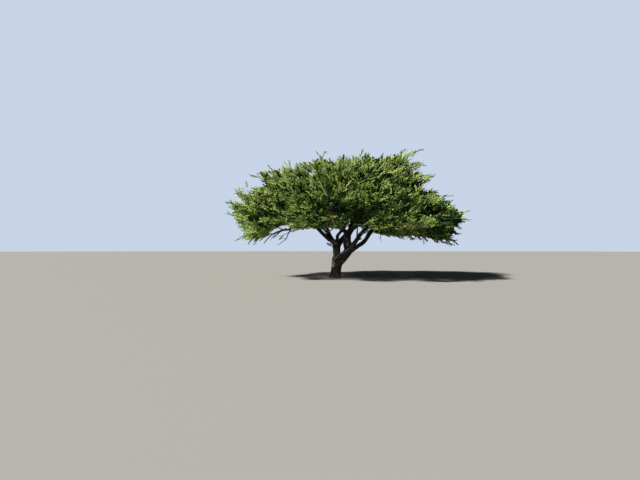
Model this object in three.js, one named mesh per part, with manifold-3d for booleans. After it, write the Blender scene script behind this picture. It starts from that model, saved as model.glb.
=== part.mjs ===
// A thorn tree with a wide umbrella crown on a short, forked, leaning trunk.
// Millimetres, +Z up. The origin is the centre of the flat cut under the trunk, at ground level.
// +X runs to the long side of the crown, +Y to its far side. Azimuths turn from +X towards +Y.

import * as THREE from "three";
import { mergeVertices } from "three/addons/utils/BufferGeometryUtils.js";
import Module from "manifold-3d";

const wasm = await Module();
wasm.setup();

const gap = 0.3; // between pieces that touch
const halfGap = gap / 2;

// The trunk leans towards +X as it rises and widens that way into its fork.
const trunk = {
  height: 1230,
  radius: 250,
  lean: 235,
  leanPower: 1.7,
  forkSpread: 150,
  forkPower: 3,
  roundFrom: 0.84, // share of the height where the top starts to round off
  roundTo: 0.28, // what is left of the width at the very top
  flare: 62,
  flareHeight: 120,
  flareBias: 0.45, // how much stronger the flare is on the side of its largest buttress
  buttresses: 5,
  buttressDepth: 0.55,
  buttressTurn: 200, // azimuth of the largest buttress, in degrees
  sides: 18,
  steps: 10,
};

// Stems and boughs, each along the places its middle passes, with its radius at the foot and at the end.
const boughs = [
  { name: "left_stem", radius: [190, 202],
    route: [[110, 0, 850], [74, 0, 1270], [72, 10, 1580], [75, 20, 1840]] },
  { name: "right_stem", radius: [232, 222],
    route: [[190, 0, 820], [500, 0, 1180], [660, 0, 1410], [690, 0, 1560]] },
  { name: "west_bough", radius: [150, 125],
    route: [[70, 10, 1680], [-60, -10, 1850], [-200, -40, 1960], [-330, -60, 2020]] },
  { name: "west_limb", radius: [104, 50],
    route: [[-300, -50, 2010], [-530, -90, 2190], [-730, -130, 2370], [-900, -160, 2550],
      [-1250, -230, 2770], [-2100, -400, 2950], [-3900, -500, 3150]] },
  { name: "northwest_limb", radius: [90, 52],
    route: [[-120, 0, 1900], [-200, 20, 2080], [-300, 80, 2270], [-390, 170, 2500], [-680, 400, 2850],
      [-1500, 1100, 3500], [-2700, 1500, 4150]] },
  { name: "front_bough", radius: [88, 58],
    route: [[85, 0, 1740], [105, -40, 1990], [110, -110, 2170], [235, -250, 2340], [380, -480, 2500],
      [700, -1500, 3000]] },
  { name: "back_bough", radius: [134, 70],
    route: [[130, 40, 1700], [335, 190, 1970], [540, 380, 2190], [760, 700, 2480], [1100, 2300, 3300]] },
  { name: "middle_bough", radius: [234, 192],
    route: [[690, 0, 1420], [655, 0, 1620], [605, 0, 1910], [615, 0, 2150], [660, 0, 2400]] },
  { name: "middle_left_limb", radius: [112, 62],
    route: [[640, 0, 2220], [545, 20, 2370], [360, 60, 2520], [170, 110, 2680], [-100, 300, 3300]] },
  { name: "middle_right_limb", radius: [132, 84],
    route: [[680, 0, 2250], [870, -20, 2530], [1080, -60, 2740], [1500, -150, 3500]] },
  { name: "southeast_bough", radius: [122, 66],
    route: [[760, -40, 1500], [1030, -110, 1870], [1210, -190, 2150], [1360, -280, 2340], [1570, -430, 2540],
      [2300, -1500, 3100]] },
  { name: "upright_shoot", radius: [42, 26],
    route: [[1130, -160, 2060], [1128, -120, 2250], [1128, -80, 2450], [1180, 0, 2900]] },
  { name: "broken_stub", radius: [62, 22],
    route: [[1080, -150, 1960], [1210, -200, 2000], [1370, -230, 2030]] },
  { name: "east_bough", radius: [118, 62],
    route: [[760, 10, 1400], [1200, 30, 1670], [1460, 40, 1850], [1660, 60, 2100], [1810, 80, 2320],
      [2050, 100, 2440], [2600, 160, 2620], [4400, 300, 2950]] },
];
const boughSides = 7;
const boughStep = 350; // length of one step along a bough
const boughStepsLeast = 4;
const boughStepsMost = 11;

// The crown: rings of foliage masses, one ring above another, and two groups inside it.
const crown = {
  middle: 730, // how far the outermost ring lies off the trunk, along +X
  rim: 2160, // mean height of the outermost ring's underside
  rimDroop: 350, // the two long sides hang this much lower, and the -Y and +Y sides as much higher
  rimTilt: 200, // the side at +Y stands this much higher still, and the side at -Y as much lower
  skirtTop: 4480,
  skirtTopTilt: 400, // the side at -X stands this much higher, and the side at +X as much lower
};
const rings = [
  { name: "skirt", count: 10, turn: 0, centre: [crown.middle, 0], reach: [4570, 4050], size: [1540, 1500],
    slope: 0.45 },
  { name: "shoulder", count: 8, turn: 0.5, centre: [270, 0], reach: [3060, 2760], size: [1620, 1500],
    slope: 0.2, level: 4500, tilt: 0, height: 1000 },
  { name: "top", count: 5, turn: 0, centre: [1500, 100], reach: [1530, 1450], size: [1450, 1400],
    slope: -0.3, level: 5250, tilt: 120, height: 850 },
  { name: "heart", count: 1, turn: 0, centre: [1400, 100], reach: [0, 0], size: [1500, 1400],
    slope: 0, level: 5200, tilt: 0, height: 900 },
  { name: "inner", count: 3, turn: 0.25, centre: [750, 0], reach: [1450, 1350], size: [1400, 1350],
    slope: 0, level: 3330, tilt: 0, height: 800 },
];
const mass = {
  detail: 2,
  unevenness: 0.1,
  flatBelow: 0.82, // the underside's depth as a share of the top's height
  phase: 1.7,
  waves: [[2.1, 3.3, 1.7], [-3.9, 1.3, 2.9], [1.1, -4.3, 5.1], [5.3, 2.7, -1.9]],
};
const cutter = 9000; // side of the block that parts two masses

// Limbs that leave a bough and carry a mass of the outermost ring.
const limbs = [
  { name: "limb_0", from: "east_bough", at: 0.62, to: "skirt_1", radius: [52, 34] },
  { name: "limb_1", from: "back_bough", at: 0.62, to: "skirt_2", radius: [50, 34] },
  { name: "limb_2", from: "back_bough", at: 0.5, to: "skirt_3", radius: [50, 34] },
  { name: "limb_3", from: "northwest_limb", at: 0.45, to: "skirt_4", radius: [48, 32] },
  { name: "limb_4", from: "west_limb", at: 0.4, to: "skirt_6", radius: [46, 32] },
  { name: "limb_5", from: "front_bough", at: 0.7, to: "skirt_7", radius: [48, 32] },
  { name: "limb_6", from: "southeast_bough", at: 0.6, to: "skirt_8", radius: [48, 32] },
  { name: "limb_7", from: "southeast_bough", at: 0.72, to: "skirt_9", radius: [50, 34] },
];
// Where a limb bends, as shares of its length: onwards along its parent, and towards its mass.
const limbBend = { along: 0.2, towards: 0.25 };

const bark = new THREE.MeshStandardMaterial({ color: 0x3a312b, roughness: 0.95, metalness: 0 });
const leafage = new THREE.MeshStandardMaterial({ color: 0x5a7430, roughness: 0.7, metalness: 0 });

const vector = (p) => new THREE.Vector3(...p);
const radians = THREE.MathUtils.degToRad;
const lerp = THREE.MathUtils.lerp;

// A closed geometry as a solid.
function solidOf(geometry) {
  const bare = geometry.clone();
  bare.deleteAttribute("normal");
  bare.deleteAttribute("uv");
  const merged = mergeVertices(bare, 1e-3);
  return new wasm.Manifold(
    new wasm.Mesh({
      numProp: 3,
      vertProperties: new Float32Array(merged.attributes.position.array),
      triVerts: new Uint32Array(merged.index.array),
    }),
  );
}

// A solid as a named mesh.
function meshOf(name, solid, material) {
  const made = solid.getMesh();
  const points = new Float32Array(made.numVert * 3);
  for (let i = 0; i < made.numVert; i += 1) {
    points.set(made.vertProperties.subarray(i * made.numProp, i * made.numProp + 3), i * 3);
  }
  const geometry = new THREE.BufferGeometry();
  geometry.setAttribute("position", new THREE.BufferAttribute(points, 3));
  geometry.setIndex(new THREE.BufferAttribute(made.triVerts, 1));
  geometry.computeVertexNormals();
  const mesh = new THREE.Mesh(geometry, material);
  mesh.name = name;
  return mesh;
}

// The piece of a cut solid that holds most of its volume.
function largestPiece(solid) {
  return solid.decompose().reduce((best, piece) => (piece.volume() > best.volume() ? piece : best));
}

// How far the trunk's surface stands from its middle at one height and azimuth, along X and along Y.
function trunkRadii(height, azimuth) {
  const share = height / trunk.height;
  const lobes = Math.cos(trunk.buttresses * (azimuth - radians(trunk.buttressTurn)));
  const strength = 1 + trunk.flareBias * Math.cos(azimuth - radians(trunk.buttressTurn));
  const fade = Math.exp(-height / trunk.flareHeight);
  const flare = trunk.flare * strength * (1 + trunk.buttressDepth * lobes) * fade;
  const round = trunk.radius + flare;
  const over = Math.max(0, (share - trunk.roundFrom) / (1 - trunk.roundFrom));
  const close = Math.sqrt(Math.max(trunk.roundTo ** 2, 1 - over * over));
  return [(round + trunk.forkSpread * share ** trunk.forkPower) * close, round * close];
}

// The trunk, from its flat cut at the ground to its rounded top in the fork, with horizontal sections.
function trunkSolid(inflate = 0) {
  const geometry = new THREE.CylinderGeometry(1, 1, 1, trunk.sides, trunk.steps);
  const places = geometry.attributes.position;
  for (let i = 0; i < places.count; i += 1) {
    const height = (places.getY(i) + 0.5) * trunk.height;
    const azimuth = Math.atan2(places.getX(i), places.getZ(i));
    const outward = Math.hypot(places.getX(i), places.getZ(i)) < 0.5 ? 0 : 1;
    const [alongX, alongY] = trunkRadii(height, azimuth);
    const middle = trunk.lean * (height / trunk.height) ** trunk.leanPower;
    places.setXYZ(
      i,
      middle + outward * (alongX + inflate) * Math.cos(azimuth),
      outward * (alongY + inflate) * Math.sin(azimuth),
      height + (height > 0.5 * trunk.height ? inflate : 0),
    );
  }
  return solidOf(geometry);
}

// The smooth line through a bough's places.
function lineThrough(places) {
  return new THREE.CatmullRomCurve3(places.map(vector), false, "catmullrom", 0.5);
}

// A limb of round section that tapers along its line.
function limbSolid(line, radius, inflate = 0) {
  const wanted = Math.round(line.getLength() / boughStep);
  const steps = THREE.MathUtils.clamp(wanted, boughStepsLeast, boughStepsMost);
  const geometry = new THREE.CylinderGeometry(1, 1, 1, boughSides, steps);
  const frames = line.computeFrenetFrames(steps);
  const places = geometry.attributes.position;
  for (let i = 0; i < places.count; i += 1) {
    const share = places.getY(i) + 0.5;
    const step = Math.round(share * steps);
    const across = lerp(radius[0], radius[1], share) + inflate;
    const beyond = share > 0.999 ? inflate : share < 0.001 ? -inflate : 0;
    const point = line
      .getPointAt(share)
      .addScaledVector(frames.tangents[step], beyond)
      .addScaledVector(frames.normals[step], places.getX(i) * across)
      .addScaledVector(frames.binormals[step], -places.getZ(i) * across);
    places.setXYZ(i, point.x, point.y, point.z);
  }
  return solidOf(geometry);
}

// The masses of one ring: where each is, its half-sizes outwards, along the ring and up, and its turn.
function massesOf(ring) {
  return Array.from({ length: ring.count }, (_, i) => {
    const azimuth = ((i + ring.turn) / ring.count) * 2 * Math.PI;
    const low = crown.rim - crown.rimDroop * Math.cos(2 * azimuth) + crown.rimTilt * Math.sin(azimuth);
    const high = crown.skirtTop - crown.skirtTopTilt * Math.cos(azimuth);
    const height = ring.height ?? (high - low) / (1 + mass.flatBelow);
    const level = ring.level === undefined ? high - height : ring.level + ring.tilt * Math.cos(azimuth);
    return {
      name: `${ring.name}_${i}`,
      centre: new THREE.Vector3(
        ring.centre[0] + ring.reach[0] * Math.cos(azimuth),
        ring.centre[1] + ring.reach[1] * Math.sin(azimuth),
        level,
      ),
      size: [ring.size[0], ring.size[1], height],
      slope: ring.slope,
      turn: azimuth,
      seed: 1 + i + 10 * rings.indexOf(ring),
    };
  });
}

// A lumpy closed pad of foliage, flatter below than above, whose top slopes down towards its outer end.
function massSolid(one, inflate = 0) {
  const geometry = new THREE.IcosahedronGeometry(1, mass.detail);
  const places = geometry.attributes.position;
  const way = new THREE.Vector3();
  for (let i = 0; i < places.count; i += 1) {
    way.fromBufferAttribute(places, i).normalize();
    const phases = mass.waves.map((wave, k) => vector(wave).dot(way) + one.seed * (k + mass.phase));
    const lumps = phases.reduce((sum, phase) => sum + Math.sin(phase), 0);
    const swell = 1 + (mass.unevenness * lumps) / 2;
    const depth = way.z < 0 ? mass.flatBelow : 1 - one.slope * way.x;
    way.set(
      way.x * (one.size[0] * swell + inflate),
      way.y * (one.size[1] * swell + inflate),
      way.z * (one.size[2] * depth * swell + inflate),
    );
    way.applyAxisAngle(new THREE.Vector3(0, 0, 1), one.turn).add(one.centre);
    places.setXYZ(i, way.x, way.y, way.z);
  }
  return solidOf(geometry);
}

// How far a mass reaches from its middle along a direction, by its half-sizes.
function reachAlong(one, way) {
  const local = way.clone().applyAxisAngle(new THREE.Vector3(0, 0, 1), -one.turn);
  const [x, y, z] = one.size;
  return 1 / Math.hypot(local.x / x, local.y / y, local.z / z);
}

// A block that holds all of a neighbour's side of the plane between two masses.
function blockBetween(one, other) {
  const way = other.centre.clone().sub(one.centre);
  const apart = way.length();
  way.normalize();
  const [mine, theirs] = [reachAlong(one, way), reachAlong(other, way)];
  const block = new THREE.BoxGeometry(cutter, cutter, cutter);
  block.translate(0, 0, cutter / 2);
  block.applyQuaternion(new THREE.Quaternion().setFromUnitVectors(new THREE.Vector3(0, 0, 1), way));
  const face = one.centre.clone().addScaledVector(way, (apart * mine) / (mine + theirs) - halfGap);
  block.translate(face.x, face.y, face.z);
  return solidOf(block);
}

const masses = rings.flatMap(massesOf);
const tree = new THREE.Group();
tree.name = "umbrella_tree";

// Each mass gives way to its neighbours at the planes half-way between them.
function touching(one, other) {
  const reach = (1 + mass.unevenness) * (one.size[0] + other.size[0]);
  return one !== other && one.centre.distanceTo(other.centre) < reach;
}
for (const one of masses) {
  const cut = masses
    .filter((other) => touching(one, other))
    .reduce((solid, other) => solid.subtract(blockBetween(one, other)), massSolid(one));
  tree.add(meshOf(one.name, largestPiece(cut), leafage));
}
const foliage = masses.map((one) => massSolid(one, gap)).reduce((sum, solid) => sum.add(solid));

// The wood: each limb gives way to what it grows from, and ends where it enters a mass.
let wood = trunkSolid(gap);
tree.add(meshOf("trunk", trunkSolid(), bark));
const lines = new Map();

function grow(name, line, radius) {
  const cut = limbSolid(line, radius).subtract(wood).subtract(foliage);
  tree.add(meshOf(name, largestPiece(cut), bark));
  wood = wood.add(limbSolid(line, radius, gap));
  lines.set(name, line);
}

for (const bough of boughs) {
  grow(bough.name, lineThrough(bough.route), bough.radius);
}

for (const limb of limbs) {
  const parent = lines.get(limb.from);
  const foot = parent.getPointAt(limb.at);
  const end = masses.find((one) => one.name === limb.to).centre;
  const bend = foot
    .clone()
    .lerp(end, limbBend.towards)
    .addScaledVector(parent.getTangentAt(limb.at), limbBend.along * foot.distanceTo(end));
  grow(limb.name, new THREE.CatmullRomCurve3([foot, bend, end], false, "catmullrom", 0.5), limb.radius);
}

export default tree;
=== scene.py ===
# A living thorn tree: a short, leaning, forked trunk under a wide umbrella crown of small leaves.
# Metres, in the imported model's frame: origin in the middle of the flat cut under the trunk, +Z up.
import math

import bmesh
import bpy
import numpy as np
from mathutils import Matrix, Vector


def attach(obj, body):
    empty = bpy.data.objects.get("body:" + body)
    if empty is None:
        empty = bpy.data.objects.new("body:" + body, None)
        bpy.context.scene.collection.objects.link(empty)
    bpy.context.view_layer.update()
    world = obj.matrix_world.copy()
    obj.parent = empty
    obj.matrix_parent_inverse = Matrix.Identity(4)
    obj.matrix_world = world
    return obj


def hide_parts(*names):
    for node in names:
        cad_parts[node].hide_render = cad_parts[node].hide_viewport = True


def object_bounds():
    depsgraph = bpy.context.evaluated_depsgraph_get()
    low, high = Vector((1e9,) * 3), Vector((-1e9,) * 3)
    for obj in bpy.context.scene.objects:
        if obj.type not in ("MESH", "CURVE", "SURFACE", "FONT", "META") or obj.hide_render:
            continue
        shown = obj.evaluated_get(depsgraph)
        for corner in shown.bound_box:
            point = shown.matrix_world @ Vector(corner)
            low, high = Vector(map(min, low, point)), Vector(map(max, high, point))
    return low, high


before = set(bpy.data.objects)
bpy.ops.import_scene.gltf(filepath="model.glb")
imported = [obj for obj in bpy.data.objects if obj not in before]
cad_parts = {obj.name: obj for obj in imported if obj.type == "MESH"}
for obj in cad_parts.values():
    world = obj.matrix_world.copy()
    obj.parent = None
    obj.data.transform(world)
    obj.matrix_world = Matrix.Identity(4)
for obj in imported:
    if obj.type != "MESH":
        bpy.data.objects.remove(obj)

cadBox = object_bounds()
boxLow, boxHigh = (np.array(corner) for corner in cadBox)
scene = bpy.context.scene
up = np.array((0.0, 0.0, 1.0))

# Camera: held at a standing person's eye height, looking a little above the horizon.
cameraSet = {
    "place": (-0.79, -24.8, 1.5),
    "pitch": 1.07,  # degrees above level
    "lens": 27.0,
    "sensor": 36.0,
    "farthest": 1000,
}
cameraData = bpy.data.cameras.new("camera")
cameraData.lens = cameraSet["lens"]
cameraData.sensor_width = cameraSet["sensor"]
cameraData.clip_end = cameraSet["farthest"]
camera = bpy.data.objects.new("camera", cameraData)
camera.location = cameraSet["place"]
camera.rotation_euler = (math.radians(90 + cameraSet["pitch"]), 0, 0)
scene.collection.objects.link(camera)
scene.camera = camera


# Numbers, vectors and lines

def unit(v):  # each vector divided by its length
    return v / np.maximum(np.linalg.norm(v, axis=-1, keepdims=True), 1e-9)


def between(a, b, share):  # from a at share 0 to b at share 1
    return a + (b - a) * share


def smoothstep(low, high, x):  # 0 below low, 1 above high, 3t^2 - 2t^3 between
    t = np.clip((x - low) / (high - low), 0, 1)
    return t * t * (3 - 2 * t)


def bell(away, width):  # e to the minus square of distance over width: 1 at no distance, then falling
    return np.exp(-((away / width) ** 2))


def turned(v, angle):  # vectors turned about Z by an angle
    c, s = np.cos(angle), np.sin(angle)
    return np.stack([c * v[..., 0] - s * v[..., 1], s * v[..., 0] + c * v[..., 1], v[..., 2]], axis=-1)


def picked(table, rows):  # the same rows of every array in a dictionary
    return {key: value[rows] for key, value in table.items()}


def runAlong(line):  # how far along a line each of its points lies
    return np.concatenate([[0], np.cumsum(np.linalg.norm(np.diff(line, axis=0), axis=1))])


def edgeGap(p, a, b):  # how far each flat point is from the nearest of the straight edges from a to b
    t = np.clip(((p - a) * (b - a)).sum(-1) / ((b - a) ** 2).sum(-1), 0, 1)[..., None]
    return np.linalg.norm(p - a - t * (b - a), axis=-1).min(axis=1)


# A uniform Catmull-Rom cubic through the places, its ends mirrored, read off at equal steps of its length.
def smoothLine(places, step, cuts=24):
    p = np.array(places, float)
    p = np.vstack([2 * p[0] - p[1], p, 2 * p[-1] - p[-2]])
    t = np.linspace(0, 1, cuts, endpoint=False)[:, None]
    spans = []
    for a, b, c, d in zip(p, p[1:], p[2:], p[3:]):
        spans.append(0.5 * (2 * b + (c - a) * t + (2 * a - 5 * b + 4 * c - d) * t**2
                            + (3 * b - a - 3 * c + d) * t**3))
    dense = np.vstack(spans + [p[-2:-1]])
    run = runAlong(dense)
    at = np.linspace(0, run[-1], max(2, int(round(run[-1] / step)) + 1))
    return np.stack([np.interp(at, run, dense[:, k]) for k in range(3)], axis=1)


# Tangent, normal and binormal at each station of many lines, from the axis least along each line's chord.
def framesAlong(lines):
    tangents = unit(np.gradient(lines, axis=1))
    chords = unit(lines[:, -1] - lines[:, 0])
    reference = np.eye(3)[np.argmin(np.abs(chords), axis=1)][:, None]
    normals = unit(reference - np.sum(tangents * reference, axis=2, keepdims=True) * tangents)
    return tangents, normals, np.cross(tangents, normals)


def spokes(sides, normals, binormals):  # cos(a) normal + sin(a) binormal, a going round in equal steps
    a = 2 * np.pi * np.arange(sides) / sides
    return np.cos(a)[:, None] * normals[..., None, :] + np.sin(a)[:, None] * binormals[..., None, :]


# Many round tubes at once. Station i of a tube is its line's point i plus its radius i times the spokes;
# both ends close in a point.
def tubes(lines, radii, sides):
    count, stations = radii.shape[:2]
    _, normals, binormals = framesAlong(lines)
    across = radii[..., None] if radii.ndim == 3 else radii[:, :, None, None]
    rings = lines[:, :, None] + across * spokes(sides, normals, binormals)
    ends = np.stack([lines[:, 0], lines[:, -1]], axis=1)
    points = np.concatenate([rings.reshape(count, -1, 3), ends], axis=1).reshape(-1, 3)
    first = (np.arange(count) * (stations * sides + 2))[:, None, None, None]
    i = np.arange(stations - 1)[:, None] * sides
    j, k = np.arange(sides), (np.arange(sides) + 1) % sides
    quads = np.stack(np.broadcast_arrays(i + j, i + k, i + sides + k, i + sides + j), axis=-1)
    pole, last = np.full(sides, stations * sides), (stations - 1) * sides
    fans = np.stack([np.stack([pole, k, j], axis=-1), np.stack([pole + 1, last + j, last + k], axis=-1)])
    return points, [(first + quads).reshape(-1, 4), (first + fans).reshape(-1, 3)]


def merged(parts):  # several surfaces as one: points stacked, faces renumbered
    starts = np.cumsum([0] + [len(points) for points, _ in parts])
    return (np.vstack([points for points, _ in parts]),
            [f + start for start, (_, faces) in zip(starts, parts) for f in faces])


# A mesh object from points and sets of faces, with one material slot number for each face.
def makeObject(name, points, faceSets, materials, slots=None, smooth=True):
    mesh = bpy.data.meshes.new(name)
    corners = np.concatenate([f.ravel() for f in faceSets]).astype(np.int32)
    sizes = np.concatenate([np.full(len(f), f.shape[1]) for f in faceSets])
    starts = np.concatenate([[0], np.cumsum(sizes)[:-1]]).astype(np.int32)
    mesh.vertices.add(len(points))
    mesh.vertices.foreach_set("co", points.astype(np.float32).ravel())
    mesh.loops.add(len(corners))
    mesh.loops.foreach_set("vertex_index", corners)
    mesh.polygons.add(len(sizes))
    mesh.polygons.foreach_set("loop_start", starts)
    if slots is not None:
        mesh.polygons.foreach_set("material_index", slots.astype(np.int32))
    mesh.polygons.foreach_set("use_smooth", np.full(len(sizes), smooth))
    mesh.update(calc_edges=True)
    return linked(name, mesh, materials)


def linked(name, mesh, materials):  # an object of a mesh, in the scene
    for material in materials:
        mesh.materials.append(material)
    piece = bpy.data.objects.new(name, mesh)
    scene.collection.objects.link(piece)
    return piece


def readPoints(mesh, what="co"):  # a mesh's vertex places, or another of its vertex vectors, as rows
    values = np.zeros(len(mesh.vertices) * 3, np.float32)
    mesh.vertices.foreach_get(what, values)
    return values.reshape(-1, 3).astype(float)


def putBark(mesh, **values):  # named attributes: one number or one vector for each vertex
    for name, rows in values.items():
        kind, field = ("FLOAT_VECTOR", "vector") if rows.ndim == 2 else ("FLOAT", "value")
        attribute = mesh.attributes.new(name, kind, "POINT")
        attribute.data.foreach_set(field, rows.astype(np.float32).ravel())


# Materials

class Wire:  # a socket; arithmetic on it adds Math nodes
    def __init__(self, graph, value):
        self.graph, self.value = graph, value

    def math(self, operation, *values):
        return self.graph.node("ShaderNodeMath", {"operation": operation}, dict(enumerate(values)))

    def __add__(self, other):
        return self.math("ADD", self, other)

    def __sub__(self, other):
        return self.math("SUBTRACT", self, other)

    def __rsub__(self, other):
        return self.math("SUBTRACT", other, self)

    def __mul__(self, other):
        return self.math("MULTIPLY", self, other)

    __radd__ = __add__
    __rmul__ = __mul__


class Graph:  # the nodes of a material or world
    def __init__(self, owner):
        owner.use_nodes = True
        self.owner = owner
        self.nodes = owner.node_tree.nodes
        self.links = owner.node_tree.links
        self.shader = self.nodes.get("Principled BSDF") or self.nodes["Background"]

    def node(self, kind, settings, inputs, output=0):
        made = self.nodes.new(kind)
        for key, value in settings.items():
            setattr(made, key, value)
        for key, value in inputs.items():
            self.feed(made.inputs[key], value)
        return Wire(self, made.outputs[output])

    def feed(self, socket, value):
        if isinstance(value, Wire):
            self.links.new(value.value, socket)
        else:
            socket.default_value = value

    def give(self, **values):  # to the shader's own sockets, named with _ for a space
        for key, value in values.items():
            self.feed(self.shader.inputs[key.replace("_", " ")], value)

    def attribute(self, name, output):
        return self.node("ShaderNodeAttribute", {"attribute_name": name}, {}, output)

    def noise(self, place, scale, detail, roughness):
        inputs = {"Vector": place, "Scale": scale, "Detail": detail, "Roughness": roughness}
        return self.node("ShaderNodeTexNoise", {}, inputs)

    def ramp(self, value, low, high, top=1.0):  # 0 below low, top above high, straight between
        return self.node("ShaderNodeMapRange", {}, {0: value, 1: low, 2: high, 4: top})

    def blend(self, share, first, second):  # two colours mixed by a share
        first, second = (tone if isinstance(tone, Wire) else (*tone, 1) for tone in (first, second))
        return self.node("ShaderNodeMix", {"data_type": "RGBA"}, {0: share, 6: first, 7: second}, output=2)


def plainMaterial(name, tone, roughness=0.9, specular=0.2):
    graph = Graph(bpy.data.materials.new(name))
    graph.give(Base_Color=(*tone, 1), Roughness=roughness, Specular_IOR_Level=specular)
    return graph.owner


barkLook = {
    # painted shade in part: the fissures are darker than the bark's own colour, as the shade in its recesses
    "fissure": (0.007, 0.006, 0.005),
    "ridge": (0.044, 0.038, 0.033),
    "crownShade": (0.012, 0.0105, 0.0095),  # painted shade: what the ridges darken to on the boughs, in the crown's shadow
    # pale: weathered patches from the noise, and along each streak on the near side a painted highlight
    "pale": (0.36, 0.325, 0.275),
    "rust": (0.05, 0.03, 0.02),
    "crownShadeHeights": (1.5, 2.15),
    "crownShadeDimming": 0.85,  # how much the painted crown shade dims the rust and the pale patches and highlight on the boughs
    "grain": (38.0, 5.0, 0.65),  # scale, detail and roughness
    "patch": (2.6, 4.0, 0.6),
    "speck": (13.0, 3.0, 0.5),
    "plate": (0.75, 0.5, 0.12),  # how much relief and grain make a plate, less this
    "plateRamp": (0.1, 0.9),
    "rustRamp": (0.55, 0.75, 0.4),
    "wearAndHighlight": (0.75, 0.3, 0.6),  # how much patch, grain and the painted highlight count
    "wearAndHighlightRamp": (0.52, 0.74),
    "roughness": 0.92,
    "specular": 0.25,
    "bump": 0.55,
    "bumpDepth": 0.006,
    "bumpRelief": 0.6,
}


# Bark: near black in the fissures, partly its own colour and partly painted shade in the recesses; grey-brown
# on the plates, with paler weathered patches, a painted highlight along each pale streak on the near side,
# and some rust red on the trunk; darker on the boughs, a painted shade of the crown's shadow.
def barkMaterial():
    graph = Graph(bpy.data.materials.new("bark"))
    relief = graph.attribute("relief", 2)
    worn = graph.attribute("worn", 2)
    place = graph.node("ShaderNodeTexCoord", {}, {}, output=3)
    grain = graph.noise(graph.attribute("barkPlace", 1), *barkLook["grain"])
    patch = graph.noise(place, *barkLook["patch"])
    speck = graph.noise(place, *barkLook["speck"])
    byRelief, byGrain, less = barkLook["plate"]
    plate = graph.ramp(relief * byRelief + grain * byGrain - less, *barkLook["plateRamp"])
    height = graph.node("ShaderNodeSeparateXYZ", {}, {0: place}, output=2)
    # Painted shade: from 1.5 m up the ridges darken and the rust and pale fade, as in the crown's shadow.
    crownShade = graph.ramp(height, *barkLook["crownShadeHeights"])
    unshaded = 1.0 - crownShade * barkLook["crownShadeDimming"]
    ridge = graph.blend(crownShade, barkLook["ridge"], barkLook["crownShade"])
    tone = graph.blend(plate, barkLook["fissure"], ridge)
    tone = graph.blend(graph.ramp(speck, *barkLook["rustRamp"]) * plate * unshaded, tone, barkLook["rust"])
    # The pale tone: weathered patches where the noise gives them, and a painted highlight along each streak.
    byPatch, byGrain, byHighlight = barkLook["wearAndHighlight"]
    wearAndHighlight = graph.ramp(patch * byPatch + grain * byGrain + worn * byHighlight, *barkLook["wearAndHighlightRamp"])
    tone = graph.blend(wearAndHighlight * plate * unshaded, tone, barkLook["pale"])
    bump = graph.node("ShaderNodeBump", {}, {"Strength": barkLook["bump"], "Distance": barkLook["bumpDepth"],
                                            "Height": grain + relief * barkLook["bumpRelief"]})
    graph.give(Base_Color=tone, Roughness=barkLook["roughness"], Specular_IOR_Level=barkLook["specular"],
               Normal=bump)
    return graph.owner


bark = barkMaterial()
print("materials: bark made")


# Wood: the trunk's form, the boughs' routes, and the relief of the bark

trunk = {
    "height": 1.23,
    "below": 0.08,  # how far its solid first runs under the ground, before the flat cut
    "radius": 0.25,
    "lean": 0.235,
    "leanPower": 1.7,
    "forkSpread": 0.15,
    "forkPower": 3,
    "roundFrom": 0.84,
    "roundTo": 0.28,
    "flare": 0.062,
    "flareHeight": 0.12,
    "flareBias": 0.45,
    "buttresses": 5,
    "buttressDepth": 0.55,
    "buttressTurn": math.radians(200),
    "sides": 64,
    "stations": 60,
    "barkTop": 1.13,  # up to here its bark follows its own middle line
    "barkStations": 40,
}
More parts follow.
